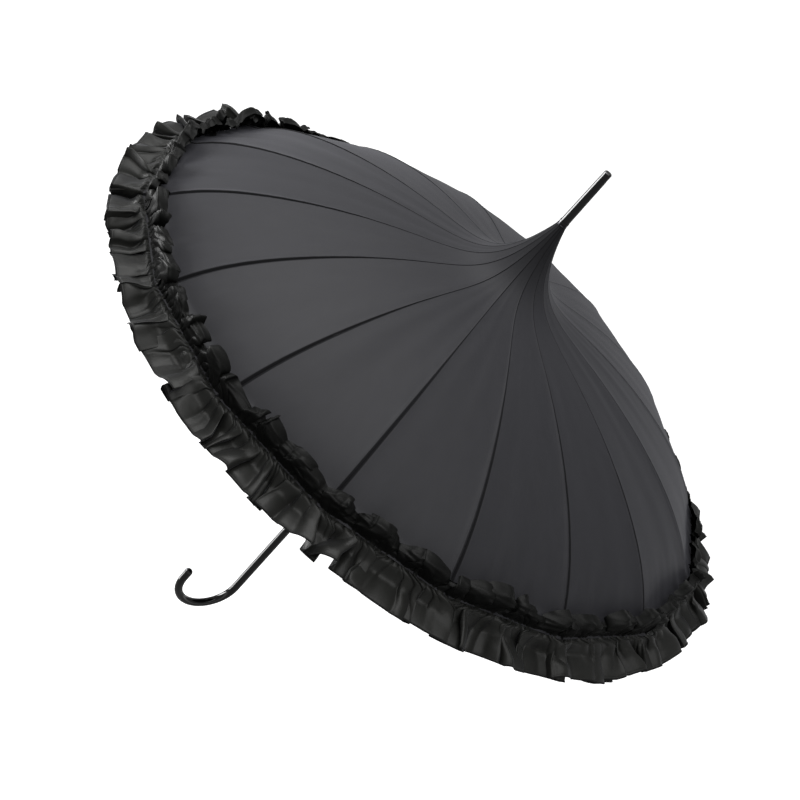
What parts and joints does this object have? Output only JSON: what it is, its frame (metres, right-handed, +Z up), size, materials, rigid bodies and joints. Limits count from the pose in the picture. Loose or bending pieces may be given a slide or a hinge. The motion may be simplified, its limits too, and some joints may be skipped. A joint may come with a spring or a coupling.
{
  "type": "folding pagoda parasol",
  "caption": "Open domed parasol with a spire, a gathered ruffle rim, a slim shaft and a crook handle; it folds down along its shaft.",
  "frame": {"origin": "On the shaft's axis at the middle of the straight grip of the handle, where a hand holds it.", "axes": "+Z runs up the shaft to the ferrule tip. The crook bends away towards -X. Rib 01 points along +X."},
  "size_m": [1.027, 1.027, 0.9341],
  "materials": {
    "shaft_enamel": "gloss black enamel on a steel tube",
    "handle_lacquer": "high gloss black",
    "ferrule_lacquer": "high gloss black enamel",
    "collar_metal": "gloss dark nickel",
    "canopy_satin": "black satin with a soft sheen",
    "frame_steel": "satin nickel plate",
    "bright_wire": "bright spring steel",
    "runner_plastic": "black moulded plastic",
    "rib_enamel": "black electro-coat on steel"
  },
  "bodies": {
    "shaft_body": {"shaft": "shaft_enamel", "crook_handle": "handle_lacquer", "ferrule": "ferrule_lacquer", "ferrule_cap": "ferrule_lacquer", "canopy_cap": "collar_metal", "canopy_spire": "canopy_satin", "crown": "frame_steel", "crown_wire": "bright_wire", "stop_pin": "bright_wire"},
    "runner_body": {"runner": "runner_plastic"},
    "open_catch_body": {"open_catch": "bright_wire"},
    "closed_catch_body": {"closed_catch": "bright_wire"},
    "rib_01_body": {"rib_01": "rib_enamel", "canopy_strip_01": "canopy_satin"},
    "stretcher_01_body": {"stretcher_01": "rib_enamel"},
    "rib_02_body": {"rib_02": "rib_enamel", "canopy_strip_02": "canopy_satin"},
    "stretcher_02_body": {"stretcher_02": "rib_enamel"},
    "rib_03_body": {"rib_03": "rib_enamel", "canopy_strip_03": "canopy_satin"},
    "stretcher_03_body": {"stretcher_03": "rib_enamel"},
    "rib_04_body": {"rib_04": "rib_enamel", "canopy_strip_04": "canopy_satin"},
    "stretcher_04_body": {"stretcher_04": "rib_enamel"},
    "rib_05_body": {"rib_05": "rib_enamel", "canopy_strip_05": "canopy_satin"},
    "stretcher_05_body": {"stretcher_05": "rib_enamel"},
    "rib_06_body": {"rib_06": "rib_enamel", "canopy_strip_06": "canopy_satin"},
    "stretcher_06_body": {"stretcher_06": "rib_enamel"},
    "rib_07_body": {"rib_07": "rib_enamel", "canopy_strip_07": "canopy_satin"},
    "stretcher_07_body": {"stretcher_07": "rib_enamel"},
    "rib_08_body": {"rib_08": "rib_enamel", "canopy_strip_08": "canopy_satin"},
    "stretcher_08_body": {"stretcher_08": "rib_enamel"},
    "rib_09_body": {"rib_09": "rib_enamel", "canopy_strip_09": "canopy_satin"},
    "stretcher_09_body": {"stretcher_09": "rib_enamel"},
    "rib_10_body": {"rib_10": "rib_enamel", "canopy_strip_10": "canopy_satin"},
    "stretcher_10_body": {"stretcher_10": "rib_enamel"},
    "rib_11_body": {"rib_11": "rib_enamel", "canopy_strip_11": "canopy_satin"},
    "stretcher_11_body": {"stretcher_11": "rib_enamel"},
    "rib_12_body": {"rib_12": "rib_enamel", "canopy_strip_12": "canopy_satin"},
    "stretcher_12_body": {"stretcher_12": "rib_enamel"},
    "rib_13_body": {"rib_13": "rib_enamel", "canopy_strip_13": "canopy_satin"},
    "stretcher_13_body": {"stretcher_13": "rib_enamel"},
    "rib_14_body": {"rib_14": "rib_enamel", "canopy_strip_14": "canopy_satin"},
    "stretcher_14_body": {"stretcher_14": "rib_enamel"},
    "rib_15_body": {"rib_15": "rib_enamel", "canopy_strip_15": "canopy_satin"},
    "stretcher_15_body": {"stretcher_15": "rib_enamel"},
    "rib_16_body": {"rib_16": "rib_enamel", "canopy_strip_16": "canopy_satin"},
    "stretcher_16_body": {"stretcher_16": "rib_enamel"}
  },
  "joints": [
    {"name": "runner_slide", "type": "slide", "parent": "shaft_body", "child": "runner_body", "axis": [0, 0, 1], "range_m": [-0.268, 0], "deforming": ["canopy_strip_01", "canopy_strip_02", "canopy_strip_03", "canopy_strip_04", "canopy_strip_05", "canopy_strip_06", "canopy_strip_07", "canopy_strip_08", "canopy_strip_09", "canopy_strip_10", "canopy_strip_11", "canopy_strip_12", "canopy_strip_13", "canopy_strip_14", "canopy_strip_15", "canopy_strip_16", "canopy_spire", "open_catch", "closed_catch"]},
    {"name": "rib_01_hinge", "type": "hinge", "parent": "shaft_body", "child": "rib_01_body", "pos_m": [0.011, 0, 0.61732], "axis": [0, 1, 0], "range_deg": [0, 69.51]},
    {"name": "stretcher_01_hinge", "type": "hinge", "parent": "rib_01_body", "child": "stretcher_01_body", "pos_m": [0.20404, 0, 0.58904], "axis": [0, 1, 0], "range_deg": [-118.03, 0]},
    {"name": "rib_02_hinge", "type": "hinge", "parent": "shaft_body", "child": "rib_02_body", "pos_m": [0.01016, 0.00421, 0.61732], "axis": [-0.3827, 0.9239, 0], "range_deg": [0, 69.51]},
    {"name": "stretcher_02_hinge", "type": "hinge", "parent": "rib_02_body", "child": "stretcher_02_body", "pos_m": [0.1885, 0.07808, 0.58904], "axis": [-0.3827, 0.9239, 0], "range_deg": [-118.03, 0]},
    {"name": "rib_03_hinge", "type": "hinge", "parent": "shaft_body", "child": "rib_03_body", "pos_m": [0.00778, 0.00778, 0.61732], "axis": [-0.7071, 0.7071, 0], "range_deg": [0, 69.51]},
    {"name": "stretcher_03_hinge", "type": "hinge", "parent": "rib_03_body", "child": "stretcher_03_body", "pos_m": [0.14427, 0.14427, 0.58904], "axis": [-0.7071, 0.7071, 0], "range_deg": [-118.03, 0]},
    {"name": "rib_04_hinge", "type": "hinge", "parent": "shaft_body", "child": "rib_04_body", "pos_m": [0.00421, 0.01016, 0.61732], "axis": [-0.9239, 0.3827, 0], "range_deg": [0, 69.51]},
    {"name": "stretcher_04_hinge", "type": "hinge", "parent": "rib_04_body", "child": "stretcher_04_body", "pos_m": [0.07808, 0.1885, 0.58904], "axis": [-0.9239, 0.3827, 0], "range_deg": [-118.03, 0]},
    {"name": "rib_05_hinge", "type": "hinge", "parent": "shaft_body", "child": "rib_05_body", "pos_m": [0, 0.011, 0.61732], "axis": [-1, 0, 0], "range_deg": [0, 69.51]},
    {"name": "stretcher_05_hinge", "type": "hinge", "parent": "rib_05_body", "child": "stretcher_05_body", "pos_m": [0, 0.20404, 0.58904], "axis": [-1, 0, 0], "range_deg": [-118.03, 0]},
    {"name": "rib_06_hinge", "type": "hinge", "parent": "shaft_body", "child": "rib_06_body", "pos_m": [-0.00421, 0.01016, 0.61732], "axis": [-0.9239, -0.3827, 0], "range_deg": [0, 69.51]},
    {"name": "stretcher_06_hinge", "type": "hinge", "parent": "rib_06_body", "child": "stretcher_06_body", "pos_m": [-0.07808, 0.1885, 0.58904], "axis": [-0.9239, -0.3827, 0], "range_deg": [-118.03, 0]},
    {"name": "rib_07_hinge", "type": "hinge", "parent": "shaft_body", "child": "rib_07_body", "pos_m": [-0.00778, 0.00778, 0.61732], "axis": [-0.7071, -0.7071, 0], "range_deg": [0, 69.51]},
    {"name": "stretcher_07_hinge", "type": "hinge", "parent": "rib_07_body", "child": "stretcher_07_body", "pos_m": [-0.14427, 0.14427, 0.58904], "axis": [-0.7071, -0.7071, 0], "range_deg": [-118.03, 0]},
    {"name": "rib_08_hinge", "type": "hinge", "parent": "shaft_body", "child": "rib_08_body", "pos_m": [-0.01016, 0.00421, 0.61732], "axis": [-0.3827, -0.9239, 0], "range_deg": [0, 69.51]},
    {"name": "stretcher_08_hinge", "type": "hinge", "parent": "rib_08_body", "child": "stretcher_08_body", "pos_m": [-0.1885, 0.07808, 0.58904], "axis": [-0.3827, -0.9239, 0], "range_deg": [-118.03, 0]},
    {"name": "rib_09_hinge", "type": "hinge", "parent": "shaft_body", "child": "rib_09_body", "pos_m": [-0.011, 0, 0.61732], "axis": [0, -1, 0], "range_deg": [0, 69.51]},
    {"name": "stretcher_09_hinge", "type": "hinge", "parent": "rib_09_body", "child": "stretcher_09_body", "pos_m": [-0.20404, 0, 0.58904], "axis": [0, -1, 0], "range_deg": [-118.03, 0]},
    {"name": "rib_10_hinge", "type": "hinge", "parent": "shaft_body", "child": "rib_10_body", "pos_m": [-0.01016, -0.00421, 0.61732], "axis": [0.3827, -0.9239, 0], "range_deg": [0, 69.51]},
    {"name": "stretcher_10_hinge", "type": "hinge", "parent": "rib_10_body", "child": "stretcher_10_body", "pos_m": [-0.1885, -0.07808, 0.58904], "axis": [0.3827, -0.9239, 0], "range_deg": [-118.03, 0]},
    {"name": "rib_11_hinge", "type": "hinge", "parent": "shaft_body", "child": "rib_11_body", "pos_m": [-0.00778, -0.00778, 0.61732], "axis": [0.7071, -0.7071, 0], "range_deg": [0, 69.51]},
    {"name": "stretcher_11_hinge", "type": "hinge", "parent": "rib_11_body", "child": "stretcher_11_body", "pos_m": [-0.14427, -0.14427, 0.58904], "axis": [0.7071, -0.7071, 0], "range_deg": [-118.03, 0]},
    {"name": "rib_12_hinge", "type": "hinge", "parent": "shaft_body", "child": "rib_12_body", "pos_m": [-0.00421, -0.01016, 0.61732], "axis": [0.9239, -0.3827, 0], "range_deg": [0, 69.51]},
    {"name": "stretcher_12_hinge", "type": "hinge", "parent": "rib_12_body", "child": "stretcher_12_body", "pos_m": [-0.07808, -0.1885, 0.58904], "axis": [0.9239, -0.3827, 0], "range_deg": [-118.03, 0]},
    {"name": "rib_13_hinge", "type": "hinge", "parent": "shaft_body", "child": "rib_13_body", "pos_m": [0, -0.011, 0.61732], "axis": [1, 0, 0], "range_deg": [0, 69.51]},
    {"name": "stretcher_13_hinge", "type": "hinge", "parent": "rib_13_body", "child": "stretcher_13_body", "pos_m": [0, -0.20404, 0.58904], "axis": [1, 0, 0], "range_deg": [-118.03, 0]},
    {"name": "rib_14_hinge", "type": "hinge", "parent": "shaft_body", "child": "rib_14_body", "pos_m": [0.00421, -0.01016, 0.61732], "axis": [0.9239, 0.3827, 0], "range_deg": [0, 69.51]},
    {"name": "stretcher_14_hinge", "type": "hinge", "parent": "rib_14_body", "child": "stretcher_14_body", "pos_m": [0.07808, -0.1885, 0.58904], "axis": [0.9239, 0.3827, 0], "range_deg": [-118.03, 0]},
    {"name": "rib_15_hinge", "type": "hinge", "parent": "shaft_body", "child": "rib_15_body", "pos_m": [0.00778, -0.00778, 0.61732], "axis": [0.7071, 0.7071, 0], "range_deg": [0, 69.51]},
    {"name": "stretcher_15_hinge", "type": "hinge", "parent": "rib_15_body", "child": "stretcher_15_body", "pos_m": [0.14427, -0.14427, 0.58904], "axis": [0.7071, 0.7071, 0], "range_deg": [-118.03, 0]},
    {"name": "rib_16_hinge", "type": "hinge", "parent": "shaft_body", "child": "rib_16_body", "pos_m": [0.01016, -0.00421, 0.61732], "axis": [0.3827, 0.9239, 0], "range_deg": [0, 69.51]},
    {"name": "stretcher_16_hinge", "type": "hinge", "parent": "rib_16_body", "child": "stretcher_16_body", "pos_m": [0.1885, -0.07808, 0.58904], "axis": [0.3827, 0.9239, 0], "range_deg": [-118.03, 0]},
    {"name": "open_catch_press", "type": "slide", "parent": "shaft_body", "child": "open_catch_body", "axis": [-1, 0, 0], "range_m": [0, 0.0028], "stiffness_N_per_m": 300},
    {"name": "closed_catch_press", "type": "slide", "parent": "shaft_body", "child": "closed_catch_body", "axis": [-1, 0, 0], "range_m": [0, 0.0028], "stiffness_N_per_m": 300}
  ],
  "couplings": [
    {"joint": "rib_01_hinge", "follows": "runner_slide", "rad_per_m": -4.5236},
    {"joint": "stretcher_01_hinge", "follows": "runner_slide", "rad_per_m": 7.6836},
    {"joint": "rib_02_hinge", "follows": "runner_slide", "rad_per_m": -4.5236},
    {"joint": "stretcher_02_hinge", "follows": "runner_slide", "rad_per_m": 7.6836},
    {"joint": "rib_03_hinge", "follows": "runner_slide", "rad_per_m": -4.5236},
    {"joint": "stretcher_03_hinge", "follows": "runner_slide", "rad_per_m": 7.6836},
    {"joint": "rib_04_hinge", "follows": "runner_slide", "rad_per_m": -4.5236},
    {"joint": "stretcher_04_hinge", "follows": "runner_slide", "rad_per_m": 7.6836},
    {"joint": "rib_05_hinge", "follows": "runner_slide", "rad_per_m": -4.5236},
    {"joint": "stretcher_05_hinge", "follows": "runner_slide", "rad_per_m": 7.6836},
    {"joint": "rib_06_hinge", "follows": "runner_slide", "rad_per_m": -4.5236},
    {"joint": "stretcher_06_hinge", "follows": "runner_slide", "rad_per_m": 7.6836},
    {"joint": "rib_07_hinge", "follows": "runner_slide", "rad_per_m": -4.5236},
    {"joint": "stretcher_07_hinge", "follows": "runner_slide", "rad_per_m": 7.6836},
    {"joint": "rib_08_hinge", "follows": "runner_slide", "rad_per_m": -4.5236},
    {"joint": "stretcher_08_hinge", "follows": "runner_slide", "rad_per_m": 7.6836},
    {"joint": "rib_09_hinge", "follows": "runner_slide", "rad_per_m": -4.5236},
    {"joint": "stretcher_09_hinge", "follows": "runner_slide", "rad_per_m": 7.6836},
    {"joint": "rib_10_hinge", "follows": "runner_slide", "rad_per_m": -4.5236},
    {"joint": "stretcher_10_hinge", "follows": "runner_slide", "rad_per_m": 7.6836},
    {"joint": "rib_11_hinge", "follows": "runner_slide", "rad_per_m": -4.5236},
    {"joint": "stretcher_11_hinge", "follows": "runner_slide", "rad_per_m": 7.6836},
    {"joint": "rib_12_hinge", "follows": "runner_slide", "rad_per_m": -4.5236},
    {"joint": "stretcher_12_hinge", "follows": "runner_slide", "rad_per_m": 7.6836},
    {"joint": "rib_13_hinge", "follows": "runner_slide", "rad_per_m": -4.5236},
    {"joint": "stretcher_13_hinge", "follows": "runner_slide", "rad_per_m": 7.6836},
    {"joint": "rib_14_hinge", "follows": "runner_slide", "rad_per_m": -4.5236},
    {"joint": "stretcher_14_hinge", "follows": "runner_slide", "rad_per_m": 7.6836},
    {"joint": "rib_15_hinge", "follows": "runner_slide", "rad_per_m": -4.5236},
    {"joint": "stretcher_15_hinge", "follows": "runner_slide", "rad_per_m": 7.6836},
    {"joint": "rib_16_hinge", "follows": "runner_slide", "rad_per_m": -4.5236},
    {"joint": "stretcher_16_hinge", "follows": "runner_slide", "rad_per_m": 7.6836}
  ]
}
